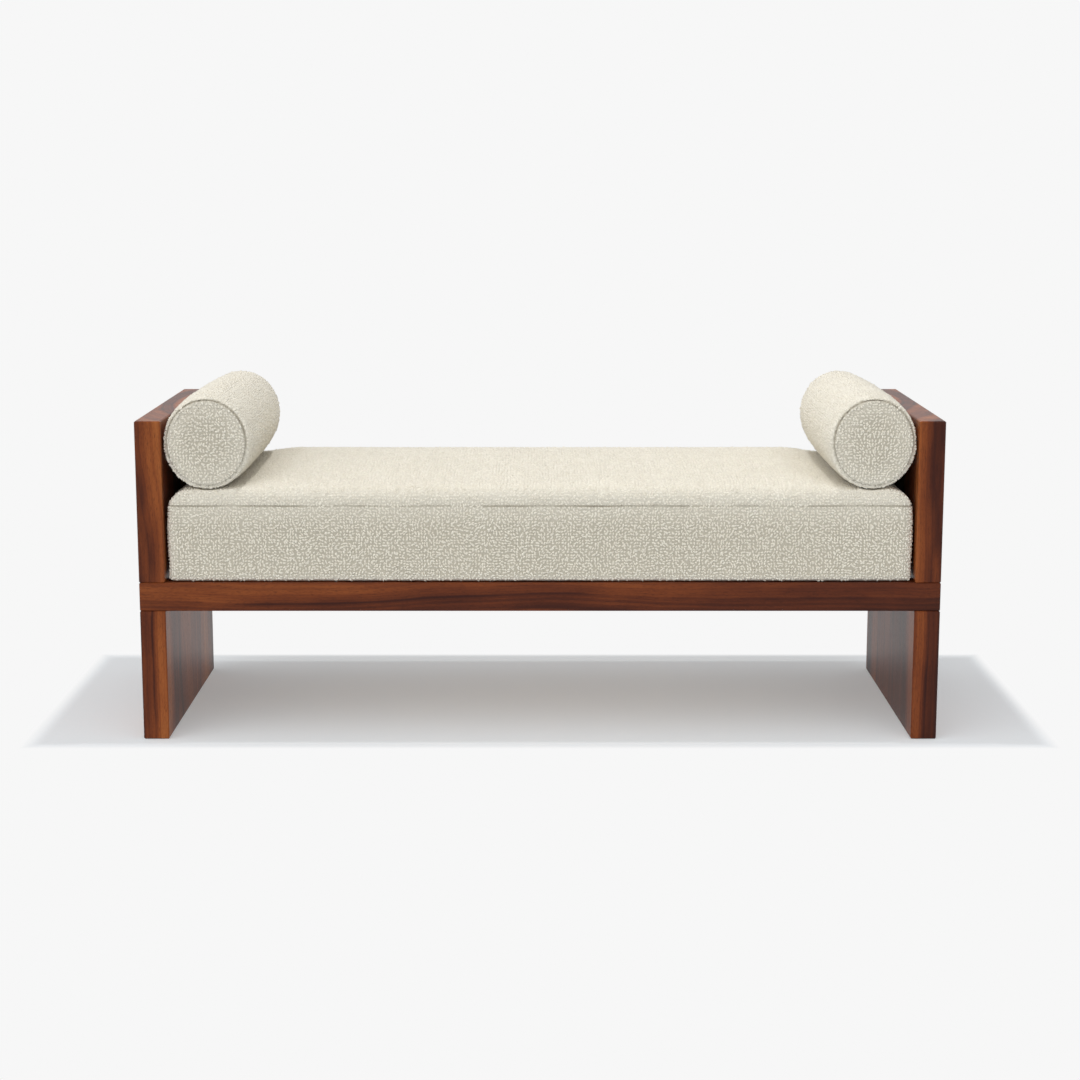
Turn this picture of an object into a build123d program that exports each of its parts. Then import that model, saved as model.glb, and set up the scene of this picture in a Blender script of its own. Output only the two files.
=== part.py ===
from build123d import *
from math import cos, radians, sin
import os

# A daybed bench: two slab ends on a mitred platform frame, two slab legs, a slatted deck,
# a box cushion and two bolsters. Millimetres. X runs along the bench, Y from front to back
# and Z up. The origin is on the floor under the middle of the bench.

os.makedirs("parts", exist_ok=True)

# ---- Timber ---------------------------------------------------------------------------------
bench_length = 1560
bench_depth = 590
slab = 50  # thickness of the end panels and legs, and width of the platform rails
platform_bottom = 258  # floor to the underside of the rails
rail_height = 56
panel_height = 316
arris = 2  # chamfer on every outer edge of the timber

# ---- Joinery --------------------------------------------------------------------------------
glue_gap = 0.1  # all round a glued piece, and round an insert
end_gap = 0.5  # at the end of a mortise or a blind hole

tenon_width = 30  # loose tenons, all cut from one strip
tenon_thickness = 12
tenon_length = 50
tenon_pitch = 85  # between the three tenons of a leg or an end panel
tenon_count = 3

bolt_diameter = 10
bolt_length = 160
bolt_head_flats = 16
bolt_head_height = 6.4
bolt_hole_diameter = 11
bolt_offset = 175  # of each bolt from the middle of the leg
bolt_slot_travel = 4  # lets the wide panel and leg shrink and swell across the rail
washer_diameter = 20
washer_thickness = 2
counterbore_diameter = 24
insert_diameter = 18
insert_length = 30
thread_engagement = 26  # of the bolt in the insert

# ---- Foot pads ------------------------------------------------------------------------------
pad_width = 30
pad_length = 60
pad_thickness = 4
pad_stand = 1  # how far a pad holds the timber off the floor
pad_offset = 245  # of the outer pads from the middle of the leg

# ---- Slatted deck ---------------------------------------------------------------------------
slat_count = 13
slat_width = 70
slat_thickness = 18
slat_drop = 1  # slat tops below the rail tops
slat_end_gap = 1
notch_depth = 6  # of the ledger under each slat
notch_gap = 0.5  # either side of a slat in its notch
ledger_width = 26
ledger_height = 30
ledger_groove = 6  # depth of the groove in the rail that holds the ledger

# ---- Seat cushion ---------------------------------------------------------------------------
rest_gap = 0.3  # under and beside the soft pieces
cushion_end_gap = 7.5  # to each end panel
cushion_setback = 6  # behind the front and rear faces of the bench
cushion_crown = 202  # height of the middle of the top
cushion_side_height = 188  # where the arch of the crown meets the upright faces
cushion_nest = 181  # height of the top where the bolsters lie
cushion_nest_length = 132.5  # of the low, level stretch at each end
cushion_slope = 120  # length of the fall from the level top to a bolster's nest
cushion_slope_radius = 300
cushion_shoulder = 30  # round of the long top edges
cushion_end_shoulder = 46  # round of the short top edges
cushion_foot_radius = 14
cushion_corner_radius = 18
cover_thickness = 2.5

# ---- Bolsters -------------------------------------------------------------------------------
bolster_half_width = 86
bolster_half_height = 93
bolster_front_setback = 7  # of the front cap from the front of the bench
bolster_rear_setback = 50
bolster_taper = 95  # length over which each end narrows
bolster_narrowing = 4  # of the radius, over that length
bolster_rim = 8  # slope of the cap's edge
bolster_lining = 6  # the cover with its quilted lining, where it is thinnest

# ---- Zips -----------------------------------------------------------------------------------
zip_chain_width = 5
zip_chain_thickness = 1.6
zip_stop_length = 3
zip_stop_width = 7
slider_length = 12
slider_width = 10
slider_height = 3.4  # from the cover to the slider's flat top
slider_clearance = 0.3
bridge_length = 8
bridge_width = 2.4
bridge_height = 2.6
bridge_eye = 1.2  # height of the gap under the bridge
bridge_lean = 60  # slope of the bridge's two feet, in degrees
seat_zip_margin = 122.5  # from each end of the zip to the end of the cushion
bolster_zip_length = 340
bolster_zip_drop = 45  # degrees below the bolster's side, on the face turned to the end panel
seam_gap = 0.05  # between a straight chain and a curved cover

# ---- Places that several pieces share -------------------------------------------------------
platform_top = platform_bottom + rail_height
end_x = (bench_length - slab) / 2  # centre line of a leg, an end rail and an end panel
corner_y = (bench_depth - slab) / 2  # centre line of the front and rear rails
bay_length = bench_length - 2 * slab  # between the end panels, and between the end rails
bay_depth = bench_depth - 2 * slab  # between the front and rear rails

bolt_top = platform_top + thread_engagement
bolt_seat = bolt_top - bolt_length  # the wood at the top of the counterbore, over the washer
head_seat = bolt_seat - washer_thickness
bolt_ys = (-bolt_offset, bolt_offset)
tenon_ys = [(i - (tenon_count - 1) / 2) * tenon_pitch for i in range(tenon_count)]
pad_ys = (-pad_offset, 0, pad_offset)
bolt_points = [(side * end_x, y) for side in (-1, 1) for y in bolt_ys]

slat_gap = (bay_length - slat_count * slat_width) / (slat_count + 1)
slat_xs = [(i - (slat_count - 1) / 2) * (slat_width + slat_gap) for i in range(slat_count)]
slat_bottom = platform_top - slat_drop - slat_thickness
ledger_bottom = slat_bottom + notch_depth - ledger_height
ledger_back = bay_depth / 2 + ledger_groove - glue_gap  # the ledger's side inside its groove


def end_mortises(x, mouth, inward):
    """The room for one end's tenons, upwards from mouth where inward is 1 and down where -1."""
    with BuildPart() as mortises:
        with BuildSketch(Plane.XY.offset(mouth)):
            with Locations(*[(x, y) for y in tenon_ys]):
                Rectangle(tenon_thickness + 2 * glue_gap, tenon_width + 2 * glue_gap)
        extrude(amount=inward * (tenon_length / 2 + end_gap))
    return mortises.part


# ---- Platform frame: four rails, mitred at the corners --------------------------------------
def mitre_plane(side, face):
    """The plane of one mitre, at the middle of the joint, with its X axis upright.

    side is -1 at the left and 1 at the right; face is -1 at the front and 1 at the rear.
    """
    middle = (side * end_x, face * corner_y, platform_bottom + rail_height / 2)
    return Plane(origin=middle, x_dir=(0, 0, 1), z_dir=(side, -face, 0))


def mitred_rail(run_direction, run, span, mitres):
    """A rail run long, its outer face span / 2 from the middle, mortised at its two mitres."""
    bed = Plane(origin=(0, 0, platform_bottom), x_dir=run_direction, z_dir=(0, 0, 1))
    with BuildPart() as rail:
        with BuildSketch(bed):
            with BuildLine():
                Polyline(
                    (-run / 2 + slab, -span / 2 + slab),
                    (-run / 2 + arris / 2, -span / 2 + arris / 2),
                    (-run / 2 + arris, -span / 2),
                    (run / 2 - arris, -span / 2),
                    (run / 2 - arris / 2, -span / 2 + arris / 2),
                    (run / 2 - slab, -span / 2 + slab),
                    close=True,
                )
            make_face()
        extrude(amount=rail_height)
        outer_face = rail.faces().sort_by(Axis((0, 0, 0), bed.y_dir))[0]
        chamfer(outer_face.edges().filter_by(Axis((0, 0, 0), bed.x_dir)), length=arris)
        for mitre in mitres:
            with BuildSketch(mitre):
                Rectangle(tenon_width + 2 * glue_gap, tenon_thickness + 2 * glue_gap)
            extrude(amount=tenon_length / 2 + end_gap, both=True, mode=Mode.SUBTRACT)
    return rail.part


for name, face in (("front", -1), ("rear", 1)):
    with BuildPart() as long_rail:
        add(mitred_rail((-face, 0, 0), bench_length, bench_depth,
                        [mitre_plane(side, face) for side in (-1, 1)]))
        with BuildSketch(Plane.XY.offset(ledger_bottom - glue_gap)):
            with Locations((0, face * (bay_depth + ledger_groove) / 2)):
                Rectangle(bay_length, ledger_groove)
        extrude(amount=ledger_height + 2 * glue_gap, mode=Mode.SUBTRACT)

    long_rail.part.label = f"{name}_rail"
    export_step(long_rail.part, f"parts/{name}_rail.step")

for name, side in (("left", -1), ("right", 1)):
    with BuildPart() as end_rail:
        add(mitred_rail((0, side, 0), bench_depth, bench_length,
                        [mitre_plane(side, face) for face in (-1, 1)]))
        with BuildSketch(Plane.XY.offset(platform_bottom)):
            with Locations(*[(side * end_x, y) for y in bolt_ys]):
                SlotCenterToCenter(bolt_slot_travel, bolt_hole_diameter, rotation=90)
        extrude(amount=rail_height, mode=Mode.SUBTRACT)
        add(end_mortises(side * end_x, platform_bottom, 1), mode=Mode.SUBTRACT)
        add(end_mortises(side * end_x, platform_top, -1), mode=Mode.SUBTRACT)

    end_rail.part.label = f"{name}_end_rail"
    export_step(end_rail.part, f"parts/{name}_end_rail.step")

with BuildPart() as mitre_tenons:
    for side in (-1, 1):
        for face in (-1, 1):
            with BuildSketch(mitre_plane(side, face)):
                Rectangle(tenon_width, tenon_thickness)
            extrude(amount=tenon_length / 2, both=True)

mitre_tenons.part.label = "mitre_tenons"
export_step(mitre_tenons.part, "parts/mitre_tenons.step")

# ---- Slatted deck: slats dropped into notched ledgers ---------------------------------------
for name, face in (("front", -1), ("rear", 1)):
    with BuildPart() as ledger:
        with BuildSketch(Plane.XY.offset(ledger_bottom)):
            with Locations((0, face * (ledger_back - ledger_width / 2))):
                Rectangle(bay_length - 2 * glue_gap, ledger_width)
        extrude(amount=ledger_height)
        inner_face = ledger.faces().sort_by(Axis((0, 0, 0), (0, -face, 0)))[-1]
        chamfer(inner_face.edges().filter_by(Axis.X).sort_by(Axis.Z)[0], length=arris)
        with BuildSketch(Plane.XY.offset(slat_bottom)):
            with Locations(*[(x, 0) for x in slat_xs]):
                Rectangle(slat_width + 2 * notch_gap, bay_depth)
        extrude(amount=notch_depth, mode=Mode.SUBTRACT)

    ledger.part.label = f"{name}_ledger"
    export_step(ledger.part, f"parts/{name}_ledger.step")

for number, x in enumerate(slat_xs, start=1):
    with BuildPart() as slat:
        with BuildSketch(Plane.XY.offset(slat_bottom)):
            with Locations((x, 0)):
                Rectangle(slat_width, bay_depth - 2 * slat_end_gap)
        extrude(amount=slat_thickness)
        chamfer(slat.faces().sort_by(Axis.Z)[-1].edges().filter_by(Axis.Y), length=arris)

    slat.part.label = f"slat_{number:02d}"
    export_step(slat.part, f"parts/slat_{number:02d}.step")

# ---- End panels, legs and foot pads ---------------------------------------------------------
for name, side in (("left", -1), ("right", 1)):
    with BuildPart() as end_panel:
        with BuildSketch(Plane.XY.offset(platform_top)):
            with Locations((side * end_x, 0)):
                Rectangle(slab, bench_depth)
        extrude(amount=panel_height)
        chamfer(end_panel.edges(), length=arris)
        with BuildSketch(Plane.XY.offset(platform_top)):
            with Locations(*[(side * end_x, y) for y in bolt_ys]):
                Circle(insert_diameter / 2 + glue_gap)
        extrude(amount=insert_length + end_gap, mode=Mode.SUBTRACT)
        add(end_mortises(side * end_x, platform_top, 1), mode=Mode.SUBTRACT)

    end_panel.part.label = f"{name}_end_panel"
    export_step(end_panel.part, f"parts/{name}_end_panel.step")

    with BuildPart() as leg:
        with BuildSketch(Plane.XY.offset(pad_stand)):
            with Locations((side * end_x, 0)):
                Rectangle(slab, bench_depth)
        extrude(amount=platform_bottom - pad_stand)
        chamfer(leg.edges(), length=arris)
        with BuildSketch(Plane.XY.offset(pad_stand)):
            with Locations(*[(side * end_x, y) for y in bolt_ys]):
                Circle(bolt_hole_diameter / 2)
        extrude(amount=platform_bottom - pad_stand, mode=Mode.SUBTRACT)
        with BuildSketch(Plane.XY.offset(pad_stand)):
            with Locations(*[(side * end_x, y) for y in bolt_ys]):
                Circle(counterbore_diameter / 2)
        extrude(amount=bolt_seat - pad_stand, mode=Mode.SUBTRACT)
        add(end_mortises(side * end_x, platform_bottom, -1), mode=Mode.SUBTRACT)
        with BuildSketch(Plane.XY.offset(pad_stand)):
            with Locations(*[(side * end_x, y) for y in pad_ys]):
                Rectangle(pad_width + 2 * glue_gap, pad_length + 2 * glue_gap)
        extrude(amount=pad_thickness - pad_stand, mode=Mode.SUBTRACT)

    leg.part.label = f"{name}_leg"
    export_step(leg.part, f"parts/{name}_leg.step")

    with BuildPart() as foot_pads:
        with BuildSketch(Plane.XY):
            with Locations(*[(side * end_x, y) for y in pad_ys]):
                Rectangle(pad_width, pad_length)
        extrude(amount=pad_thickness)

    foot_pads.part.label = f"{name}_foot_pads"
    export_step(foot_pads.part, f"parts/{name}_foot_pads.step")

# ---- What holds each end together -----------------------------------------------------------
with BuildPart() as end_tenons:
    for joint_height in (platform_bottom, platform_top):
        with BuildSketch(Plane.XY.offset(joint_height)):
            with Locations(*[(side * end_x, y) for side in (-1, 1) for y in tenon_ys]):
                Rectangle(tenon_thickness, tenon_width)
        extrude(amount=tenon_length / 2, both=True)

end_tenons.part.label = "end_tenons"
export_step(end_tenons.part, "parts/end_tenons.step")

with BuildPart() as tie_bolts:
    with BuildSketch(Plane.XY.offset(head_seat)):
        with Locations(*bolt_points):
            RegularPolygon(bolt_head_flats / 2, side_count=6, major_radius=False)
    extrude(amount=-bolt_head_height)
    with BuildSketch(Plane.XY.offset(head_seat)):
        with Locations(*bolt_points):
            Circle(bolt_diameter / 2)
    extrude(amount=bolt_top - head_seat)

tie_bolts.part.label = "tie_bolts"
export_step(tie_bolts.part, "parts/tie_bolts.step")

with BuildPart() as tie_washers:
    with BuildSketch(Plane.XY.offset(head_seat)):
        with Locations(*bolt_points):
            Circle(washer_diameter / 2)
            Circle(bolt_hole_diameter / 2, mode=Mode.SUBTRACT)
    extrude(amount=washer_thickness)

tie_washers.part.label = "tie_washers"
export_step(tie_washers.part, "parts/tie_washers.step")

with BuildPart() as panel_inserts:
    with BuildSketch(Plane.XY.offset(platform_top)):
        with Locations(*bolt_points):
            Circle(insert_diameter / 2)
            Circle(bolt_diameter / 2 + glue_gap, mode=Mode.SUBTRACT)
    extrude(amount=insert_length)

panel_inserts.part.label = "panel_inserts"
export_step(panel_inserts.part, "parts/panel_inserts.step")

# ---- Seat cushion ---------------------------------------------------------------------------
cushion_half_length = bay_length / 2 - cushion_end_gap
cushion_half_depth = bench_depth / 2 - cushion_setback
cushion_bottom = platform_top + rest_gap


def cushion_form(inset):
    """The cushion's crowned block, every face moved in by inset."""
    half_length = cushion_half_length - inset
    half_depth = cushion_half_depth - inset
    bottom = cushion_bottom + inset
    crown = cushion_bottom + cushion_crown - inset
    side_top = cushion_bottom + cushion_side_height - inset
    nest = cushion_bottom + cushion_nest - inset
    slope_foot = cushion_half_length - cushion_nest_length
    slope_head = slope_foot - cushion_slope
    with BuildPart() as form:
        # Across the bench: upright faces under a shallow arched crown.
        with BuildSketch(Plane.YZ) as cross_section:
            with BuildLine():
                Polyline((-half_depth, side_top), (-half_depth, bottom), (half_depth, bottom),
                         (half_depth, side_top))
                ThreePointArc((half_depth, side_top), (0, crown), (-half_depth, side_top))
            make_face()
            fillet(cross_section.vertices().group_by(Axis.Y)[-1], cushion_shoulder - inset)
            fillet(cross_section.vertices().group_by(Axis.Y)[0], cushion_foot_radius - inset)
        extrude(amount=half_length, both=True)
        # Along the bench: a level top that falls to a nest for each bolster.
        with BuildSketch(Plane.XZ) as long_section:
            with BuildLine():
                Polyline(
                    (-half_length, bottom),
                    (half_length, bottom),
                    (half_length, nest),
                    (slope_foot, nest),
                    (slope_head, crown),
                    (-slope_head, crown),
                    (-slope_foot, nest),
                    (-half_length, nest),
                    close=True,
                )
            make_face()
            fillet(long_section.vertices().filter_by_position(Axis.X, -slope_foot, slope_foot),
                   cushion_slope_radius)
            fillet(long_section.vertices().group_by(Axis.Y)[0], cushion_foot_radius - inset)
            ends = long_section.edges().filter_by(Axis.Y)
            fillet([end.vertices().sort_by(Axis.Y)[-1] for end in ends], cushion_end_shoulder - inset)
        extrude(amount=half_depth, both=True, mode=Mode.INTERSECT)
        # In plan: rounded upright corners.
        with BuildSketch(Plane.XY.offset(bottom)):
            RectangleRounded(2 * half_length, 2 * half_depth, cushion_corner_radius - inset)
        extrude(amount=crown - bottom, mode=Mode.INTERSECT)
    return form.part


with BuildPart() as seat_cushion_cover:
    add(cushion_form(0))
    add(cushion_form(cover_thickness), mode=Mode.SUBTRACT)

seat_cushion_cover.part.label = "seat_cushion_cover"
export_step(seat_cushion_cover.part, "parts/seat_cushion_cover.step")

with BuildPart() as seat_foam_core:
    add(cushion_form(cover_thickness + rest_gap))

seat_foam_core.part.label = "seat_foam_core"
export_step(seat_foam_core.part, "parts/seat_foam_core.step")

# ---- Bolsters -------------------------------------------------------------------------------
bolster_x = bay_length / 2 - rest_gap - bolster_half_width
bolster_bottom = cushion_bottom + cushion_nest + rest_gap
bolster_z = bolster_bottom + bolster_half_height
bolster_front = bench_depth / 2 - bolster_front_setback
bolster_rear = bench_depth / 2 - bolster_rear_setback


def foam_roll(side, room):
    """The straight oval roll of foam inside a bolster, larger all over by room."""
    inset = bolster_narrowing + bolster_lining - room
    front_end = bolster_front - bolster_lining + room
    rear_end = bolster_rear - bolster_lining + room
    with BuildPart() as roll:
        with BuildSketch(Plane.XZ.offset(front_end)):
            with Locations((side * bolster_x, bolster_z)):
                Ellipse(bolster_half_width - inset, bolster_half_height - inset)
        extrude(amount=-(front_end + rear_end))
    return roll.part


for name, side in (("left", -1), ("right", 1)):
    # The cover narrows towards each cap, whose edge is eased, round a straight roll of foam.
    with BuildPart() as bolster_cover:
        with BuildSketch(Plane.XZ.offset(bolster_front)):
            with Locations((side * bolster_x, bolster_z)):
                Ellipse(bolster_half_width, bolster_half_height)
        extrude(amount=-(bolster_front + bolster_rear))
        for end in (0, -1):
            cap = bolster_cover.faces().sort_by(Axis.Y)[end]
            chamfer(cap.edges(), length=bolster_narrowing, length2=bolster_taper, reference=cap)
            cap = bolster_cover.faces().sort_by(Axis.Y)[end]
            chamfer(cap.edges(), length=bolster_rim)
        add(foam_roll(side, rest_gap), mode=Mode.SUBTRACT)

    bolster_cover.part.label = f"{name}_bolster_cover"
    export_step(bolster_cover.part, f"parts/{name}_bolster_cover.step")

    with BuildPart() as bolster_core:
        add(foam_roll(side, 0))

    bolster_core.part.label = f"{name}_bolster_core"
    export_step(bolster_core.part, f"parts/{name}_bolster_core.step")


# ---- Zips and their sliders -----------------------------------------------------------------
def bolster_zip_plane(side):
    """The plane on a bolster's cover, low on its outer side, that the zip lies on."""
    drop = radians(bolster_zip_drop)
    across = side * cos(drop)
    down = -sin(drop)
    point = (side * bolster_x + across * bolster_half_width, 0, bolster_z + down * bolster_half_height)
    outward = (across / bolster_half_width, 0, down / bolster_half_height)
    return Plane(origin=point, x_dir=(0, 1, 0), z_dir=outward).offset(seam_gap)


boxing_middle = cushion_bottom + (cushion_side_height - cushion_shoulder) / 2
zips = {
    "seat": (
        Plane(origin=(0, cushion_half_depth, boxing_middle), x_dir=(1, 0, 0), z_dir=(0, 1, 0)),
        2 * (cushion_half_length - seat_zip_margin),
    ),
    "left_bolster": (bolster_zip_plane(-1), bolster_zip_length),
    "right_bolster": (bolster_zip_plane(1), bolster_zip_length),
}

for name, (lie, zip_length) in zips.items():
    stop_x = (zip_length - zip_stop_length) / 2
    with BuildPart() as zip_chain:
        with BuildSketch(lie):
            Rectangle(zip_length, zip_chain_width)
            with Locations((-stop_x, 0), (stop_x, 0)):
                Rectangle(zip_stop_length, zip_stop_width)
        extrude(amount=zip_chain_thickness)

    zip_chain.part.label = f"{name}_zip"
    export_step(zip_chain.part, f"parts/{name}_zip.step")

    # The slider straddles the chain, shut against the stop at the chain's first end.
    slider_start = slider_clearance + zip_stop_length - zip_length / 2
    slider_end = Plane(
        origin=lie.from_local_coords((slider_start, 0, slider_clearance)),
        x_dir=lie.y_dir,
        z_dir=lie.x_dir,
    )
    bridge_middle = (slider_start + slider_length / 2, bridge_width / 2, slider_height)
    bridge_side = Plane(origin=lie.from_local_coords(bridge_middle), x_dir=lie.x_dir, z_dir=-lie.y_dir)
    on_cover = (Align.CENTER, Align.MIN)
    with BuildPart() as zip_slider:
        with BuildSketch(slider_end):
            Rectangle(slider_width, slider_height - slider_clearance, align=on_cover)
            Rectangle(zip_chain_width + 2 * slider_clearance, zip_chain_thickness, align=on_cover,
                      mode=Mode.SUBTRACT)
        extrude(amount=slider_length)
        with BuildSketch(bridge_side):
            Trapezoid(bridge_length, bridge_height, bridge_lean, align=on_cover)
            Rectangle(bridge_length - 2 * bridge_height, bridge_eye, align=on_cover,
                      mode=Mode.SUBTRACT)
        extrude(amount=bridge_width)

    zip_slider.part.label = f"{name}_zip_slider"
    export_step(zip_slider.part, f"parts/{name}_zip_slider.step")
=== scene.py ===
from math import cos, pi, radians, sin

import bmesh
import bpy
import numpy as np
from mathutils import Euler, Matrix, Vector
from mathutils.bvhtree import BVHTree


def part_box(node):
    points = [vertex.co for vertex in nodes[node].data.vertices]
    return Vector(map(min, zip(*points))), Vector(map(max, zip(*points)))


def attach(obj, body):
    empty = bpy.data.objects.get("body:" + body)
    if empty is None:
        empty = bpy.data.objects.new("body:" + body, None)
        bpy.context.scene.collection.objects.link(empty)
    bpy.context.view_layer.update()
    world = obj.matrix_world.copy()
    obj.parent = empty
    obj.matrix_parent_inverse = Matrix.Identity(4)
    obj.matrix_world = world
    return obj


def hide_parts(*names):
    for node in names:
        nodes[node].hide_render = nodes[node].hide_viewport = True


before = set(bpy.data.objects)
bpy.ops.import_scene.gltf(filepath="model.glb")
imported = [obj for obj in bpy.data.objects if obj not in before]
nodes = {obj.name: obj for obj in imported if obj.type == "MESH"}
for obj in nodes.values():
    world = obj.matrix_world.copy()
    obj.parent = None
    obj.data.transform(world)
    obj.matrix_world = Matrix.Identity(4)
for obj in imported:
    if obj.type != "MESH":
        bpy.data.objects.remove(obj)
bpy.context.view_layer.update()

# A daybed bench in walnut, with a box cushion and two bolsters in a cream loop-pile cloth.
# Metres. X runs along the bench, Y from front to back and Z up.

# ---- Sizes ----
MM = 0.001

# The pile.
LOOP_CELL = 5.8 * MM  # one loop of the pile stands in each square of this size
LOOP_LENGTH = (6.0 * MM, 9.4 * MM)
LOOP_WIDTH = (4.2 * MM, 5.6 * MM)
LOOP_HEIGHT = (1.3 * MM, 2.4 * MM)
LOOP_ROOT = 1.0 * MM  # how deep a loop's feet sit in the ground of the cloth
LOOP_BEND = 0.9  # the most that a loop curves to either side
LOOP_SCATTER = 1.3  # the larger, the nearer a loop is to the middle of its square
LOOP_STRAY = 0.08  # the share of loops that stand up taller
STRAY_RISE = 1.4  # this many times
SWIRL_REACH = 26 * MM  # over this distance the loops turn from one direction to another
SWIRL_HEADING = (0.8, 0.55)  # the loops' middle direction and its spread, in radians
SWIRL_WAVES = 4
SWIRL_TURN = 1.2  # how far each of them turns the loops
LOOP_SEED = 11
# The pile's painted shade: pale at a loop's crest, darker at its foot and darkest on the ground between
# loops.
PAINTED_FOOT_SHADE = 0.15  # how pale a loop's foot is, from 0 to 1 at its crest
BARE_PAINTED_SHADE = 0.25  # how pale the cloth is where it has no pile
LIT_HOLLOWS = 0.55  # how much paler the painted shade in the pile is on the tops and ends and near the seams
LIT_HOLLOWS_FACING = (2.9, 2.75)  # its share is the first, less the second on what faces the front
LIT_HOLLOWS_AT_SEAM = 0.55  # or this at a seam, which grows beyond the seam and falls before it
LIT_HOLLOWS_REACH = 110 * MM  # by 1 over this distance
LIT_HOLLOWS_LIMIT = 0.9

# The filled covers.
WELD = 0.01 * MM  # points nearer than this are one
CUT_UNDER = 0.8 * MM  # the cut cover is this much smaller than the filled one
CORNER_REACH = 12 * MM  # the remeshed cover is no further inside its pattern's corners
OVER_FOAM = 2.4 * MM  # the least distance from the foam to the cover
SWELL = 1.6 * MM  # the most that the filling pushes a cover out
FULL_HEIGHT = 405 * MM  # the cushion's sides are fullest at this height
SIDE_FULLNESS = 1.5 * MM
SIDE_LEAN = 1.6 * MM  # in, at the top
END_FULLNESS = 4.2 * MM
FOOT_FULLNESS = 2.5 * MM
FOOT_REACH = 22 * MM  # the foot's fullness dies out over this height,
EDGE_REACH = 40 * MM  # and that of a side or end over this distance in from its edge
CLOTH = {"quality": 4, "mass": 0.4, "vertex_group_mass": "stitched", "pin_stiffness": 1.0,
         "use_pressure": True, "uniform_pressure_force": 4.0}
LOOSE = 0.02  # a point held less firmly than this isn't held at all
SETTLE_FRAMES = 20
SINK = 2.0 * MM  # how far a bolster sinks into the pile that it lies on
PRESSED = 0.12  # what is left of the height of the pile where it is pressed flat
FAR = 1.0  # a metre: out of the way
END_NARROWING = 3 * MM  # of a bolster's radius at its rear end
TAPER_LENGTH = 260 * MM  # of the narrower end
REAR_PUFF = 3 * MM  # how far the rear cap stands out
RIM_ROUND = 16 * MM  # at the front end of a bolster
REAR_RIM_ROUND = 22 * MM

# Seams.
SEAM_WIDTH = 1.5 * MM
SEAM_DEPTH = 0.8 * MM
STITCH_WIDTH = 1.1 * MM
# A seam's groove is painted with shadow as well as dented.
PAINTED_SEAM_SHADOW = 0.7  # how dark the cloth is in a seam, from 0 to 1
SEAM_BEAD = 0.5 * MM  # the fold of cloth that stands up beside a seam
BEAD_AWAY = 2.4 * SEAM_WIDTH  # from the seam to the crest of that fold
BEAD_WIDTH = 1.2 * SEAM_WIDTH
SEAM_PART = 0.35 * MM  # no loop reaches nearer to a seam than this
SEAM_HOLD = 10 * MM  # how far from a seam its stitches hold the cloth
TOP_HOLD = 0.2  # how firmly the cushion's top seam does, from 0 to 1
# How upright cloth is that a seam holds, and on which a seam shows, from not at all to in full.
TOP_HELD = 0.4
FOOT_HELD = 0.35
SEAM_SHOWN = (0.3, 0.8)
# The same, by how squarely cloth faces along the bolster.
SIDE_HELD = 0.9
CAP_SEAM_SHOWN = (0.4, 0.8)
TOP_SEAM_DROP = 51.5 * MM  # from the crown of the cushion down to its top seam
FOOT_SEAM_RISE = 1.5 * MM
BARE_FOOT = 3 * MM  # the cushion has no pile below this height
# Waves along the cushion's seam: height, radians to the metre along X and Y, and phase.
SEAM_WAVER = ((0.4 * MM, 31, 0, 1.1), (0.2 * MM, 83, 60, 0))
SEAM_DRAWN = ((0.2, 9, 0, 1), (0.15, 41, 30, 0))
SEAM_DRAW = 0.6  # its mean depth: here and there the pile closes over it
CAP_SEAM_INSET = 9.5 * MM  # from the outline of a bolster's cap in to its seam
CAP_STITCH = 2 * MM  # from a cap to where its seam holds the side of the bolster
CAP_HOLD = 7 * MM

# Zips.
ZIP_BAND = 9 * MM  # from the middle of a zip to the edge of the flat cloth beside it
BAND_EDGE = 4 * MM  # the pile begins over this distance
ZIP_HOLD = 18 * MM
SEAT_ZIP_MARGIN = 12 * MM  # the cloth still lies flat this far past a zip
BOLSTER_ZIP_MARGIN = 8 * MM
FOLD_AWAY = 5 * MM  # from there to the crest of a fold
FOLD_WIDTH = 3 * MM
FOLD_HEIGHT = 1.2 * MM
CHAIN_THICKNESS = 1.6 * MM  # from the cover out to the face of the teeth
CLOTH_UNDER_ZIP = 0.7 * MM  # how far the cloth comes up under a zip
TAPE = (20 * MM, 0.45 * MM)
TAPE_RISE = 0.05 * MM
TOOTH = (1.5 * MM, 2.6 * MM, 0.8 * MM)
TOOTH_PITCH = 3 * MM
TEETH_MESH = 0.47  # of a tooth's width, from the zip's middle to a row's
STOP = (3 * MM, 5 * MM, 1.1 * MM)
CORD = (0.8 * MM, 0.7 * MM)  # sewn along each row of teeth
CORD_AWAY = 0.5 * MM
CORD_RISE = 0.2 * MM
TOOTH_EDGE = 0.25 * MM  # how far edges are softened
STOP_EDGE = 0.3 * MM
TAPE_EDGE = 0.15 * MM
SLIDER_RISE = 0.4 * MM
# The blocks of a slider, in millimetres: size, place from its foot and how far edges are softened.
PLATE = ((12, 10, 1.1), (0, 0, 0.55), 0.4)
PULL = ((9.5, 5, 0.9), (9.3, 0, 1.75), 0.3)
EYE = ((1.2, 5, 0.9), (0.6, 0, 1.75), 0.3)  # of the pull, round the front foot of the bridge
BRIDGE = ((7.3, 2.2, 0.9), (0, 0, 2.9), 0.35)
FLANGE = ((9, 1.2, 0.9), (-1, 4.3, -0.35), 0.25)
FOOT = ((1.3, 2.2, 1.8), (3, 0, 1.8), 0.35)
ARM = ((5, 1.2, 0.9), (2.7, 1.9, 1.75), 0.3)
NOSE = (5.5 * MM, 0.72)  # where the plate's nose is, and how wide it is to the rest
PULL_FRAME = 0.8 * MM  # round the hollow of the pull
PULL_HOLLOW = 0.25 * MM

rng = np.random.default_rng(LOOP_SEED)


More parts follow.
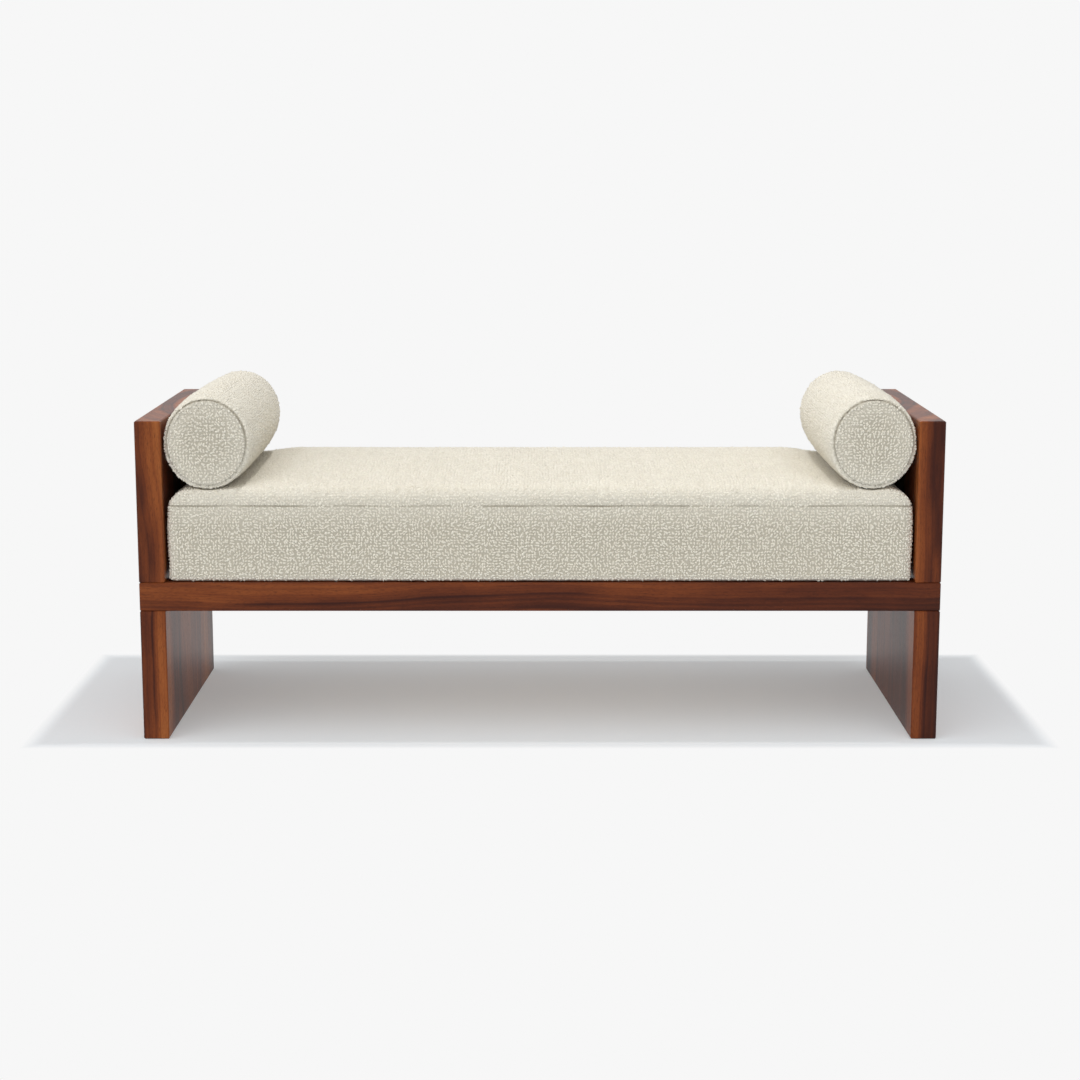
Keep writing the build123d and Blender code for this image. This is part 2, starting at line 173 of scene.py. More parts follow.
# ---- Building finishes ----
class Wire:
    """An output in a material. Arithmetic on it adds Math nodes."""

    def __init__(self, finish, socket):
        self.finish = finish
        self.socket = socket

    def of(self, operation, *others):
        """A Math operation, such as SQRT, with this wire as its first term."""
        return self.finish.node("Math", {"operation": operation}, dict(enumerate((self, *others))))

    def __add__(self, other):
        return self.of("ADD", other)

    def __sub__(self, other):
        return self.of("SUBTRACT", other)

    def __rsub__(self, other):
        return self.finish.node("Math", {"operation": "SUBTRACT"}, {0: other, 1: self})

    def __mul__(self, other):
        return self.of("MULTIPLY", other)

    def __pow__(self, other):
        return self.of("POWER", other)

    __radd__ = __add__

    def ease(self, low, high):
        """0 below low, 1 above high and a smooth step between them."""
        return self.finish.node("MapRange", {"interpolation_type": "SMOOTHSTEP"},
                                {"Value": self, "From Min": low, "From Max": high})


class Finish:
    """A material on the Principled shader, with its constants set on the shader's own sockets."""

    def __init__(self, name, **constants):
        self.material = bpy.data.materials.new(name)
        self.material.use_nodes = True
        self.tree = self.material.node_tree
        self.shader = self.tree.nodes["Principled BSDF"]
        for socket, value in constants.items():
            self.shader.inputs[socket.replace("_", " ").title().replace("Ior", "IOR")].default_value = value

    def node(self, kind, settings, sockets, output=0):
        """Adds a shader node, sets it up, wires or fills its sockets and returns one of its outputs."""
        made = self.tree.nodes.new("ShaderNode" + kind)
        for key, value in settings.items():
            if key == "stops":
                ramp = made.color_ramp
                while len(ramp.elements) < len(value):
                    ramp.elements.new(1)
                for element, (place, colour) in zip(ramp.elements, value):
                    element.position = place
                    element.color = colour
            else:
                setattr(made, key, value)
        for key, value in sockets.items():
            if isinstance(value, Wire):
                self.tree.links.new(value.socket, made.inputs[key])
            else:
                made.inputs[key].default_value = value
        return Wire(self, made.outputs[output])

    def place(self):
        """The point of the surface, in the frame's metres."""
        return self.node("TexCoord", {}, {}, "Object")

    def axes(self, point):
        return [self.node("SeparateXYZ", {}, {0: point}, axis) for axis in "XYZ"]

    def point(self, x, y, z):
        return self.node("CombineXYZ", {}, {0: x, 1: y, 2: z})

    def noise(self, point, scale, detail, roughness=0.5):
        return self.node("TexNoise", {}, {"Vector": point, "Scale": scale, "Detail": detail,
                                          "Roughness": roughness}, "Fac")

    def streaks(self, value, scale, detail, roughness):
        """Noise that varies with one number only."""
        return self.node("TexNoise", {"noise_dimensions": "1D"},
                         {"W": value, "Scale": scale, "Detail": detail, "Roughness": roughness}, "Fac")

    def ramp(self, value, stops):
        """Colours from plain 0 to 255 values, each at its place from 0 to 1."""
        return self.node("ValToRGB", {"stops": [(at, colour(*tone)) for at, tone in stops]},
                         {0: value})

    def mix(self, share, first, second):
        """second over first, by share. 6, 7 and 2 are a Mix node's colour sockets."""
        return self.node("Mix", {"data_type": "RGBA"}, {0: share, 6: first, 7: second}, 2)

    def bump(self, height, distance, strength):
        return self.node("Bump", {}, {"Height": height, "Distance": distance, "Strength": strength})

    def wire(self, socket, value):
        self.tree.links.new(value.socket, self.shader.inputs[socket])


def colour(red, green, blue):
    """A shader colour from plain 0 to 255 values."""
    return tuple((c / 255 / 12.92 if c / 255 <= 0.04045 else ((c / 255 + 0.055) / 1.055) ** 2.4)
                 for c in (red, green, blue)) + (1.0,)


# ---- Timber finishes ----
GRAIN_ORDER = {"x": (0, 1, 2), "y": (1, 0, 2), "z": (2, 0, 1)}
WALNUT_TONES = ((0.20, (62, 28, 18)), (0.36, (91, 43, 24)), (0.50, (119, 60, 30)),
                (0.64, (144, 78, 38)), (0.82, (171, 102, 52)))
WALNUT_EDGE = (48, 21, 18)  # the dark line where one colour zone ends
WALNUT_RING = (54, 25, 21)
WALNUT_PORE = (52, 26, 19)
ZONE_SCALE = 16.0  # colour zones and rings are drawn out from the pith, at so many to the metre
RING_SCALE = 120.0
# Figures: the length and width of their features in metres, detail, roughness and offset.
BEND = (0.75, 0.30, 2.0, 0.45, 0.0)
WAVER = (0.22, 0.06, 3.0, 0.5, 7.3)
CLOUDS = (0.28, 0.05, 3.0, 0.55, 3.1)
FIBRE = (0.050, 0.0022, 2.0, 0.6, 1.7)
PORES = (0.008, 0.0007, 0.0, 0.5, 5.9)
WAVER_REACH = 9 * MM
BEECH_TONES = ((0.3, (186, 146, 102)), (0.5, (205, 168, 124)), (0.7, (218, 186, 146)))
BEECH_FLECK = (150, 104, 66)
# How many features there are to the metre, along and across, detail and roughness.
BROAD = (2.5, 28.0, 3.0, 0.55)
FINE = (30.0, 520.0, 2.0, 0.6)
FLECKS = (260.0, 1300.0, 0.0, 0.5)
SLATS = 13


def middle(node):
    low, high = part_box(node)
    return (low + high) / 2


def dress(material, *dressed):
    for node in dressed:
        slots = nodes[node].data.materials
        slots.clear()
        slots.append(material)


def dress_walnut(node, grain, pith, shift, tone, sway, fade=0.0):
    """Oiled walnut, for a board cut along grain from a log.

    pith says how far the log's pith lies from the board's middle, on the two other axes. shift
    moves the figure along the board and sway bends its growth rings. tone lightens the whole
    board, and fade lightens it from one end to the other.
    """
    wood = Finish(f"walnut_{node}", specular_ior_level=0.10, coat_weight=0.4, coat_roughness=0.32,
                  coat_ior=1.2)
    axes = wood.axes(wood.place())
    length, across, up = (axes[i] for i in GRAIN_ORDER[grain])
    _, across_middle, up_middle = (middle(node)[i] for i in GRAIN_ORDER[grain])
    along = length + shift

    def figure(stretch, width, detail, roughness, offset):
        """Noise drawn out along the grain, in features of those lengths."""
        return wood.noise(wood.point(along * (1 / stretch) + offset, across * (1 / width),
                                     up * (1 / width)), 1.0, detail, roughness)

    bend = (figure(*BEND) - 0.5) * sway * 2
    waver = (figure(*WAVER) - 0.5) * WAVER_REACH
    side = across - (across_middle + pith[0]) + bend
    rise = up - (up_middle + pith[1]) + bend * 1.3
    radius = (side * side + rise * rise).of("SQRT") + waver
    heart = wood.streaks(radius, ZONE_SCALE, 1.0, 0.35)
    zones = heart.ease(0.42, 0.58)
    rings = wood.streaks(radius, RING_SCALE, 2.0, 0.5)
    clouds = figure(*CLOUDS)
    fibre = figure(*FIBRE)
    shade = zones * 0.30 + rings * 0.24 + clouds * 0.50 - 0.02 + (fibre - 0.5) * 0.10 + tone
    shade = shade + length * fade
    body = wood.ramp(shade, WALNUT_TONES)
    edge = (heart - 0.44).of("ABSOLUTE").ease(0.030, 0.0) * clouds.ease(0.66, 0.40)
    body = wood.mix(edge * 0.75, body, colour(*WALNUT_EDGE))
    thin = (rings - 0.42).of("ABSOLUTE").ease(0.05, 0.0) * (1 - zones)
    body = wood.mix(thin * 0.35, body, colour(*WALNUT_RING))
    pores = figure(*PORES).ease(0.60, 0.72)
    body = wood.mix(pores * 0.4, body, colour(*WALNUT_PORE))
    wood.wire("Base Color", body)
    wood.wire("Roughness", 0.40 + fibre * 0.10 + pores * 0.15)
    wood.wire("Normal", wood.bump(fibre * 0.4 - pores, 0.12 * MM, 0.5))
    dress(wood.material, node)


def dress_beech(node, grain, shift, tone=0.0):
    """Plain pale beech with its short flecks, for the deck and the loose tenons."""
    wood = Finish(f"beech_{node}", roughness=0.6, specular_ior_level=0.25)
    axes = wood.axes(wood.place())
    along, across, up = (axes[i] for i in GRAIN_ORDER[grain])
    along = along + shift

    def figure(lengthwise, crosswise, detail, roughness):
        place = wood.point(along * lengthwise, across * crosswise, up * crosswise)
        return wood.noise(place, 1.0, detail, roughness)

    broad = figure(*BROAD)
    fine = figure(*FINE)
    flecks = figure(*FLECKS).ease(0.64, 0.74)
    body = wood.ramp(broad * 0.75 + fine * 0.25 + tone, BEECH_TONES)
    wood.wire("Base Color", wood.mix(flecks * 0.45, body, colour(*BEECH_FLECK)))
    wood.wire("Roughness", 0.52 + fine * 0.14)
    wood.wire("Normal", wood.bump(fine - flecks * 0.5, 0.1 * MM, 0.5))
    dress(wood.material, node)


# ---- Metal, plastic and foam finishes ----
def brushed_metal(name, pale, dark, roughness):
    metal = Finish(name, metallic=1.0, specular_ior_level=0.5)
    place = metal.place()
    cloudy = metal.noise(place, 160.0, 4.0, 0.6)
    scratch = metal.noise(place, 1900.0, 2.0, 0.7)
    metal.wire("Base Color", metal.mix(cloudy.ease(0.35, 0.7), pale, dark))
    metal.wire("Roughness", roughness + (cloudy - 0.5) * 0.2 + (scratch - 0.5) * 0.12)
    metal.wire("Normal", metal.bump(scratch, 0.03 * MM, 0.4))
    return metal.material


def moulded_nylon(name, body):
    nylon = Finish(name, specular_ior_level=0.35)
    place = nylon.place()
    grainy = nylon.noise(place, 1400.0, 2.0, 0.6)
    scuffed = nylon.noise(place, 70.0, 4.0, 0.65).ease(0.5, 0.75)
    nylon.wire("Base Color", nylon.mix(scuffed * 0.35, body, colour(150, 144, 134)))
    nylon.wire("Roughness", 0.45 + grainy * 0.2 + scuffed * 0.15)
    nylon.wire("Normal", nylon.bump(grainy, 0.08 * MM, 0.5))
    return nylon.material


def foam_rubber(name):
    foam = Finish(name, roughness=0.95, specular_ior_level=0.1)
    place = foam.place()
    cells = foam.node("TexVoronoi", {}, {"Vector": place, "Scale": 620.0}, "Distance")
    cloudy = foam.noise(place, 18.0, 3.0)
    body = foam.mix(cloudy, colour(236, 222, 178), colour(244, 234, 200))
    # Painted shade in the pits of the cells, where the bump dents them.
    foam.wire("Base Color", foam.mix(cells.ease(0.55, 0.1) * 0.5, body, colour(190, 172, 122)))
    foam.wire("Normal", foam.bump(cells, 0.5 * MM, 0.8))
    return foam.material


# ---- Loop-pile cloth ----
# The crests' colour, the painted shade in the hollows between loops, a darker yarn, the painted shadow in
# the seams and paler patches.
CREST = colour(250, 245, 232)
SHADE_IN_HOLLOWS = colour(156, 148, 130)
SHADED = colour(230, 223, 208)
SHADOW_IN_SEAMS = colour(118, 108, 92)
PATCHY = colour(216, 207, 190)


def loop_pile(name):
    """Cream yarn in loops, with painted shade in the hollows between them and painted shadow in the seams.
    The mesh says how high on a loop a point is, which sets the painted shade there, and how pale its yarn
    is.
    """
    cloth = Finish(name, roughness=0.95, specular_ior_level=0.08, sheen_weight=0.15,
                   sheen_roughness=0.5, sheen_tint=(1.0, 0.97, 0.92, 1.0))
    place = cloth.place()
    height = cloth.node("Attribute", {"attribute_name": "height"}, {}, "Fac")
    yarn = cloth.node("Attribute", {"attribute_name": "yarn"}, {}, "Fac")
    hair = cloth.noise(place, 1300.0, 3.0, 0.7)
    patches = cloth.noise(place, 7.0, 3.0, 0.5)
    # Painted shade: dark in the hollows, pale on the crests of the loops.
    raised = (height + (hair - 0.5) * 0.8).ease(-0.1, 0.75)
    body = cloth.mix(raised, SHADE_IN_HOLLOWS, CREST)
    body = cloth.mix(yarn * 0.55, body, SHADED)
    # Painted shadow in the seams, where the height falls below 0.
    body = cloth.mix(height.ease(-0.1, -0.9), body, SHADOW_IN_SEAMS)
    body = cloth.mix(patches.ease(0.3, 0.75) * 0.10, body, PATCHY)
    cloth.wire("Base Color", body)
    cloth.wire("Normal", cloth.bump(hair, 0.6 * MM, 0.5))
    return cloth.material


def plain_tape(name, body, dark):
    """The woven tape of a zip."""
    tape = Finish(name, roughness=0.85, specular_ior_level=0.15, sheen_weight=0.1)
    place = tape.place()
    weave = tape.node("TexVoronoi", {}, {"Vector": place, "Scale": 1250.0}, "Distance")
    tape.wire("Base Color", tape.mix(weave.ease(0.2, 0.7), body, dark))
    tape.wire("Normal", tape.bump(weave, 0.15 * MM, 0.6))
    return tape.material


# ---- The finish of each timber and metal node ----
def dress_timber():
    """Each board has its own place in the log, so that no two have the same figure."""
    dress_walnut("front_rail", "x", (0.05, -0.14), 7.7, tone=0.0, sway=0.055, fade=-0.085)
    dress_walnut("rear_rail", "x", (-0.06, -0.15), 9.4, tone=0.0, sway=0.05)
    for side, turn, shift in (("left", -1, 4.1), ("right", 1, 6.7)):
        dress_walnut(f"{side}_end_rail", "y", (turn * -0.08, -0.14), shift, tone=0.0, sway=0.05)
        dress_walnut(f"{side}_end_panel", "z", (turn * -0.5, 0.10), shift + 3.3,
                     tone=0.01 - turn * 0.01, sway=0.035)
        dress_walnut(f"{side}_leg", "z", (turn * 0.5, -0.12), shift + 8.9,
                     tone=-0.01 - turn * 0.07, sway=0.035)
    for number in range(1, SLATS + 1):
        dress_beech(f"slat_{number:02d}", "y", number * 0.83, 0.05 * sin(number * 2.3))
    dress_beech("front_ledger", "x", 3.0, -0.03)
    dress_beech("rear_ledger", "x", 4.0, -0.03)
    dress_beech("end_tenons", "z", 5.5)
    dress_beech("mitre_tenons", "x", 6.5)


def dress_hardware():
    zinc = brushed_metal("zinc_plate", colour(196, 198, 200), colour(158, 160, 164), 0.34)
    dress(zinc, "tie_bolts", "tie_washers")
    brass = brushed_metal("insert_brass", colour(206, 170, 96), colour(172, 132, 66), 0.32)
    dress(brass, "panel_inserts")
    dress(moulded_nylon("pad_nylon", colour(214, 208, 196)), "left_foot_pads", "right_foot_pads")
    dress(foam_rubber("cushion_foam"), "seat_foam_core", "left_bolster_core", "right_bolster_core")


# ---- Padded pieces ----
def place_in_scene(name, data):
    placed = bpy.data.objects.new(name, data)
    bpy.context.scene.collection.objects.link(placed)
    return placed


def only(piece):
    """Selects one object and makes it active."""
    bpy.ops.object.select_all(action="DESELECT")
    piece.select_set(True)
    bpy.context.view_layer.objects.active = piece


def set_all(thing, settings):
    for key, value in settings.items():
        setattr(thing, key, value)


def apply_modifier(piece, kind, **settings):
    only(piece)
    modifier = piece.modifiers.new(kind.lower(), kind)
    set_all(modifier, settings)
    bpy.ops.object.modifier_apply(modifier=modifier.name)


def outer_skin(name, node):
    """A new object with the outer shell of a node's mesh, merged and without its cavity."""
    skin = place_in_scene(name, nodes[node].data.copy())
    skin.data.materials.clear()
    shape = bmesh.new()
    shape.from_mesh(skin.data)
    bmesh.ops.remove_doubles(shape, verts=shape.verts, dist=WELD)
    lowest = min(shape.verts, key=lambda v: v.co.z)
    shell = {lowest}
    edge = [lowest]
    while edge:
        edge = [w for v in edge for e in v.link_edges for w in [e.other_vert(v)] if w not in shell]
        edge = list(dict.fromkeys(edge))
        shell.update(edge)
    bmesh.ops.delete(shape, geom=[v for v in shape.verts if v not in shell], context="VERTS")
    shape.to_mesh(skin.data)
    shape.free()
    return skin


def read(items, field, size, kind=np.float32):
    """What a mesh's points, corners or values say in one field, in size numbers."""
    flat = np.empty(size, kind)
    items.foreach_get(field, flat)
    return flat


def write(items, field, values, kind=np.float32):
    items.foreach_set(field, values.astype(kind).ravel())


def points_of(mesh):
    return read(mesh.vertices, "co", len(mesh.vertices) * 3).reshape(-1, 3).astype(float)


def normals_of(mesh):
    return read(mesh.vertex_normals, "vector", len(mesh.vertices) * 3).reshape(-1, 3).astype(float)


def move_points(mesh, points):
    write(mesh.vertices, "co", points)
    mesh.update()


def lengths(vectors):
    return np.sqrt((vectors ** 2).sum(axis=1, keepdims=True))


def inflate(piece, stitched):
    """How far out air pressure pushes each point of the cover while its seams hold it.

    stitched gives each point's hold, from 0 in the middle of a panel to 1 on a seam.
    """
    held = piece.vertex_groups.new(name="stitched")
    for index in np.flatnonzero(stitched > LOOSE):
        held.add([int(index)], float(stitched[index]), "REPLACE")
    cloth = piece.modifiers.new("cloth", "CLOTH")
    set_all(cloth.settings, CLOTH)
    cloth.settings.effector_weights.gravity = 0.0
    cloth.point_cache.frame_start = 1
    cloth.point_cache.frame_end = SETTLE_FRAMES
    for number in range(1, SETTLE_FRAMES + 1):
        bpy.context.scene.frame_set(number)
    blown = points_of(piece.evaluated_get(bpy.context.evaluated_depsgraph_get()).to_mesh())
    piece.modifiers.remove(cloth)
    piece.vertex_groups.remove(held)
    bpy.context.scene.frame_set(1)
    outward = ((blown - points_of(piece.data)) * normals_of(piece.data)).sum(axis=1)
    return SWELL * np.tanh(np.maximum(outward, 0) / SWELL)


def surface_of(mesh):
    return BVHTree.FromPolygons([v.co for v in mesh.vertices], [p.vertices for p in mesh.polygons])


def out_to(surface, points, normals):
    """Where a line from each point along its normal meets a surface, or the surface's nearest point."""
    met = [surface.ray_cast(Vector(point), Vector(normal), CORNER_REACH)[0]
           for point, normal in zip(points, normals)]
    return np.array([surface.find_nearest(point)[0] if spot is None else spot
                     for spot, point in zip(met, points)])


def keep_over(points, core, sink):
    """Lifts whatever would dip into the foam out to its least distance from it.

    sink is how far the cover comes down on its core afterwards.
    """
    down = np.array([0.0, 0.0, sink])
    foam = surface_of(nodes[core].data)
    found = [foam.find_nearest(point)[:2] for point in points - down]
    nearest, normals = (np.array(column) for column in zip(*found))
    under = ((points - down - nearest) * normals).sum(axis=1) < OVER_FOAM
    return np.where(under[:, None], nearest + normals * OVER_FOAM + down, points)


def bell(distance, width):
    return np.exp(-(distance / width) ** 2)


def between(values, start, end):
    """How far each value has come from start to end, from 0 to 1."""
    return np.clip((values - start) / (end - start), 0, 1)


def smooth_between(values, start, end):
    share = between(values, start, end)
    return share ** 2 * (3 - 2 * share)


def waves(base, rows, x, y):
    return base + sum(height * np.sin(x * along + y * back + phase) for height, along, back, phase in rows)


def seam_fold(distance):
    """The groove of a seam and the fold of cloth on either side of it, as a height."""
    beside = bell(np.abs(distance) - BEAD_AWAY, BEAD_WIDTH)
    return SEAM_BEAD * beside - SEAM_DEPTH * bell(distance, SEAM_WIDTH)


def store(mesh, name, values):
    write(mesh.attributes.new(name, "FLOAT", "POINT").data, "value", values)


def stored(mesh, name):
    return read(mesh.attributes[name].data, "value", len(mesh.vertices)).astype(float)


def faces_of(mesh):
    """The corners of a mesh's faces, all of them quads."""
    return read(mesh.loops, "vertex_index", len(mesh.loops), np.int32).reshape(-1, 4)


# One loop of yarn: a low ridge with two stations and two tips. Its length and width run from
# -0.5 to 0.5 and its height from 0 at its feet to 1.
LOOP_POINTS = np.array([(-0.5, 0, 0.15), (-0.2, -0.5, 0), (-0.2, 0, 1), (-0.2, 0.5, 0),
                        (0.2, -0.5, 0), (0.2, 0, 1), (0.2, 0.5, 0), (0.5, 0, 0.15)])
LOOP_MEAN_BEND = 0.1  # which keeps a curved loop over its foot
LOOP_QUADS = np.array([(1, 4, 5, 2), (2, 5, 6, 3), (3, 6, 4, 1)])
LOOP_TIPS = np.array([(0, 1, 2), (0, 2, 3), (0, 3, 1), (7, 5, 4), (7, 6, 5), (7, 4, 6)])


def stand_loops(feet, normals, seam):
    """The points of a loop at each foot, turned by the swirl of the pile, and each loop's yarn."""
    count = len(feet)
    turns = rng.uniform(0, 2 * pi, (SWIRL_WAVES, 2))
    swirl = rng.normal(*SWIRL_HEADING, count)
    for turn, phase in turns:
        heading = np.array([cos(turn), sin(turn), cos(2 * turn)]) / SWIRL_REACH
        swirl = swirl + SWIRL_TURN * np.sin(feet @ heading + phase)
    upward = np.where(np.abs(normals[:, 2:]) < 0.8, (0, 0, 1), (1, 0, 0))
    side = np.cross(upward, normals)
    side /= lengths(side)
    rise = np.cross(normals, side)
    along = np.cos(swirl)[:, None] * side + np.sin(swirl)[:, None] * rise
    across = np.cross(normals, along)
    length = rng.uniform(*LOOP_LENGTH, count)[:, None, None]
    width = rng.uniform(*LOOP_WIDTH, count)[:, None, None]
    tall = rng.uniform(*LOOP_HEIGHT, count)
    tall = np.where(rng.uniform(0, 1, count) < LOOP_STRAY, tall * STRAY_RISE, tall)[:, None, None]
    curve = rng.uniform(-LOOP_BEND, LOOP_BEND, count)[:, None, None]
    ahead, aside, above = (LOOP_POINTS[None, :, axis, None] for axis in range(3))
    bent = aside * width + curve * (ahead ** 2 - LOOP_MEAN_BEND) * length
    raised = above * (tall + LOOP_ROOT) - LOOP_ROOT
    points = feet[:, None] + along[:, None] * (ahead * length)
    points = (points + across[:, None] * bent + normals[:, None] * raised).reshape(-1, 3)

    # No loop crosses a seam, and the stitches pull down what stands beside it.
    each = np.repeat(np.arange(count), len(LOOP_POINTS))
    foot_distance, _, foot_share = seam(feet, normals)
    distance, away, _ = seam(points, normals[each])
    turn = np.where(foot_distance < 0, -1, 1)[each]
    short = np.maximum(SEAM_PART - turn * distance, 0) * turn * (foot_share[each] > 0.5)
    points += away * short[:, None]
    # in_seam also darkens the seam with painted shadow.
    in_seam = bell(np.maximum(turn * distance, SEAM_PART), STITCH_WIDTH) * (foot_share[each] > 0.5)
    points -= normals[each] * (in_seam * SEAM_DEPTH)[:, None]
    return points, np.repeat(rng.uniform(0, 1, count), len(LOOP_POINTS)), in_seam


# Corners and sizes of what the bake draws: the sides of the cloth, stacked, and the loops' shades.
CLOTH_CORNER = (0.14, 0.01)
CLOTH_ROOM = (0.85, 0.97)
SHADES_CORNER = (0.01, 0.5)
SHADES_ROOM = (0.1, 0.48)


def bake_map(points, quads, painted_shades, yarns, loop_faces):
    """Where the bake draws each corner: cloth by the side of the box that it faces, loops by shade."""
    low = points.min(axis=0)
    size = points.max(axis=0) - low
    corners = points[quads]
    facing = np.cross(corners[:, 2] - corners[:, 0], corners[:, 3] - corners[:, 1])
    axis = np.abs(facing).argmax(axis=1)
    positive = np.take_along_axis(facing, axis[:, None], 1)[:, 0] > 0
    stack = np.repeat([size[2], size[2], size[1]], 2)
    scale = min(CLOTH_ROOM[1] / stack.sum(), CLOTH_ROOM[0] / max(size[0], size[1]))
    base = np.concatenate([[0], np.cumsum(stack)[:-1]])[axis * 2 + positive]
    first = np.array([1, 0, 0])[axis]
    second = np.array([2, 2, 1])[axis]
    inside = corners - low
    right = np.take_along_axis(inside, first[:, None, None], 2)[:, :, 0]
    up = np.take_along_axis(inside, second[:, None, None], 2)[:, :, 0]
    cloth = np.stack([right, up + base[:, None]], axis=2) * scale + CLOTH_CORNER
    loops = np.stack([yarns[loop_faces], painted_shades[loop_faces]], axis=1) * SHADES_ROOM + SHADES_CORNER
    return np.concatenate([cloth.reshape(-1, 2), loops])


def pad_with_loops(piece, ground, bare, feet, feet_normals, seam):
    """The finished cover: the ground of the cloth, with a loop of yarn on each foot."""
    quads = faces_of(piece.data)
    ground_normals = normals_of(piece.data)
    loops, yarns, in_seam = stand_loops(feet, feet_normals, seam)
    starts = len(ground) + np.arange(len(feet))[:, None, None] * len(LOOP_POINTS)
    loop_quads = (starts + LOOP_QUADS).reshape(-1, 4)
    loop_tips = (starts + LOOP_TIPS).reshape(-1, 3)
    points = np.concatenate([ground, loops])
    # Painted shade along each loop, darker towards its foot.
    painted_loop_shade = PAINTED_FOOT_SHADE + (1 - PAINTED_FOOT_SHADE) * LOOP_POINTS[:, 2]
    painted_shades = np.concatenate([BARE_PAINTED_SHADE * bare, np.tile(painted_loop_shade, len(feet))])
    loop_normals = np.repeat(feet_normals, len(LOOP_POINTS), 0)
    # The painted shade in the hollows is paler on the tops and ends, which don't face the front, and beyond
    # the seams.
    facing = np.abs(np.concatenate([ground_normals[:, 1], loop_normals[:, 1]]))
    distance, _, strength = seam(ground, ground_normals)
    beyond_seam = np.concatenate([distance, seam(loops, loop_normals)[0]])
    hollows_lit_by_seam = np.clip(LIT_HOLLOWS_AT_SEAM + beyond_seam / LIT_HOLLOWS_REACH, 0, LIT_HOLLOWS_LIMIT)
    hollows_lit_by_side = np.clip(LIT_HOLLOWS_FACING[0] - LIT_HOLLOWS_FACING[1] * facing, 0, 1)
    painted_shades = np.maximum(painted_shades, LIT_HOLLOWS * np.maximum(hollows_lit_by_seam, hollows_lit_by_side))
    # Painted shadow in the seams.
    in_seam = np.concatenate([bell(distance, STITCH_WIDTH) * strength, in_seam])
    painted_shades = painted_shades - in_seam * (PAINTED_SEAM_SHADOW + painted_shades)
    yarns = np.concatenate([np.full(len(ground), 0.5), yarns])
    corners = np.concatenate([quads.ravel(), loop_quads.ravel(), loop_tips.ravel()])
    counts = np.concatenate([np.full(len(quads) + len(loop_quads), 4), np.full(len(loop_tips), 3)])
    mesh = bpy.data.meshes.new(piece.name)
    mesh.vertices.add(len(points))
    write(mesh.vertices, "co", points)
    mesh.loops.add(len(corners))
    write(mesh.loops, "vertex_index", corners, np.int32)
    mesh.polygons.add(len(counts))
    write(mesh.polygons, "loop_start", np.cumsum(counts) - counts, np.int32)
    mesh.update(calc_edges=True)
    # The height attribute carries the painted shade.
    store(mesh, "height", painted_shades)
    store(mesh, "yarn", yarns)
    spots = bake_map(ground, quads, painted_shades, yarns, corners[quads.size:])
    write(mesh.uv_layers.new(name="OFBake").uv, "vector", spots)
    piece.data = mesh
    mesh.shade_smooth()


def make_padded(name, node, core, hold, seam, band, rest, sink=0.0):
    """A filled cover over a foam core.

    hold(points, normals) says how firmly the seams hold each point of the cover.
    seam(points, normals) gives the distance from a seam, the way it grows and the seam's strength.
    band(points) gives how far each point moves for the zip, and where the cloth has no pile.
    rest(points) presses the points against what the piece lies on, which lowers them by sink.
    """
    piece = outer_skin(name, node)
    pattern = surface_of(piece.data)
    apply_modifier(piece, "REMESH", mode="VOXEL", voxel_size=2 * LOOP_CELL)
    normals = normals_of(piece.data)
    stitched = np.clip(hold(points_of(piece.data), normals), 0, 1)
    move_points(piece.data, points_of(piece.data) - normals * CUT_UNDER)
    store(piece.data, "blown", inflate(piece, stitched) - CUT_UNDER)
    apply_modifier(piece, "SUBSURF", levels=1, render_levels=1)

    def filled(points, normals, blown):
        """The pattern's points, blown out and sewn."""
        points = out_to(pattern, points, normals) + normals * blown[:, None]
        distance, _, strength = seam(points, normals)
        shift, bare = band(points)
        points = keep_over(points + shift, core, sink)
        return points + normals * (seam_fold(distance) * strength)[:, None], bare

    # A foot for a loop near the middle of each square, off it by chance.
    quads = faces_of(piece.data)
    feet_normals = normals_of(piece.data)[quads].mean(axis=1)
    feet_normals /= lengths(feet_normals)
    share = rng.dirichlet((LOOP_SCATTER,) * 4, len(quads))
    feet, bare = filled((points_of(piece.data)[quads] * share[:, :, None]).sum(axis=1), feet_normals,
                        (stored(piece.data, "blown")[quads] * share).sum(axis=1))
    standing = bare < 0.5

    # The ground of the cloth, on a finer mesh.
    apply_modifier(piece, "SUBSURF", levels=1, render_levels=1)
    ground, bare = filled(points_of(piece.data), normals_of(piece.data), stored(piece.data, "blown"))
    pad_with_loops(piece, ground, bare, feet[standing], feet_normals[standing], seam)
    move_points(piece.data, rest(points_of(piece.data)))
    return piece


def finish_padded(piece, material, body, replaced):
    piece.data.materials.append(material)
    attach(piece, body)
    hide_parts(replaced)


def cloth_by_zip(aside):
    """How bare and flat the cloth lies, and how far its fold stands up, at a distance from a zip."""
    fold = FOLD_HEIGHT * bell(aside - ZIP_BAND - FOLD_AWAY, FOLD_WIDTH)
    return between(aside, ZIP_BAND + BAND_EDGE, ZIP_BAND), fold


def press_down(points, top):
    """Presses flat what stands above top."""
    above = points[:, 2] > top
    points[:, 2] = np.where(above, top + PRESSED * (points[:, 2] - top), points[:, 2])
    return points


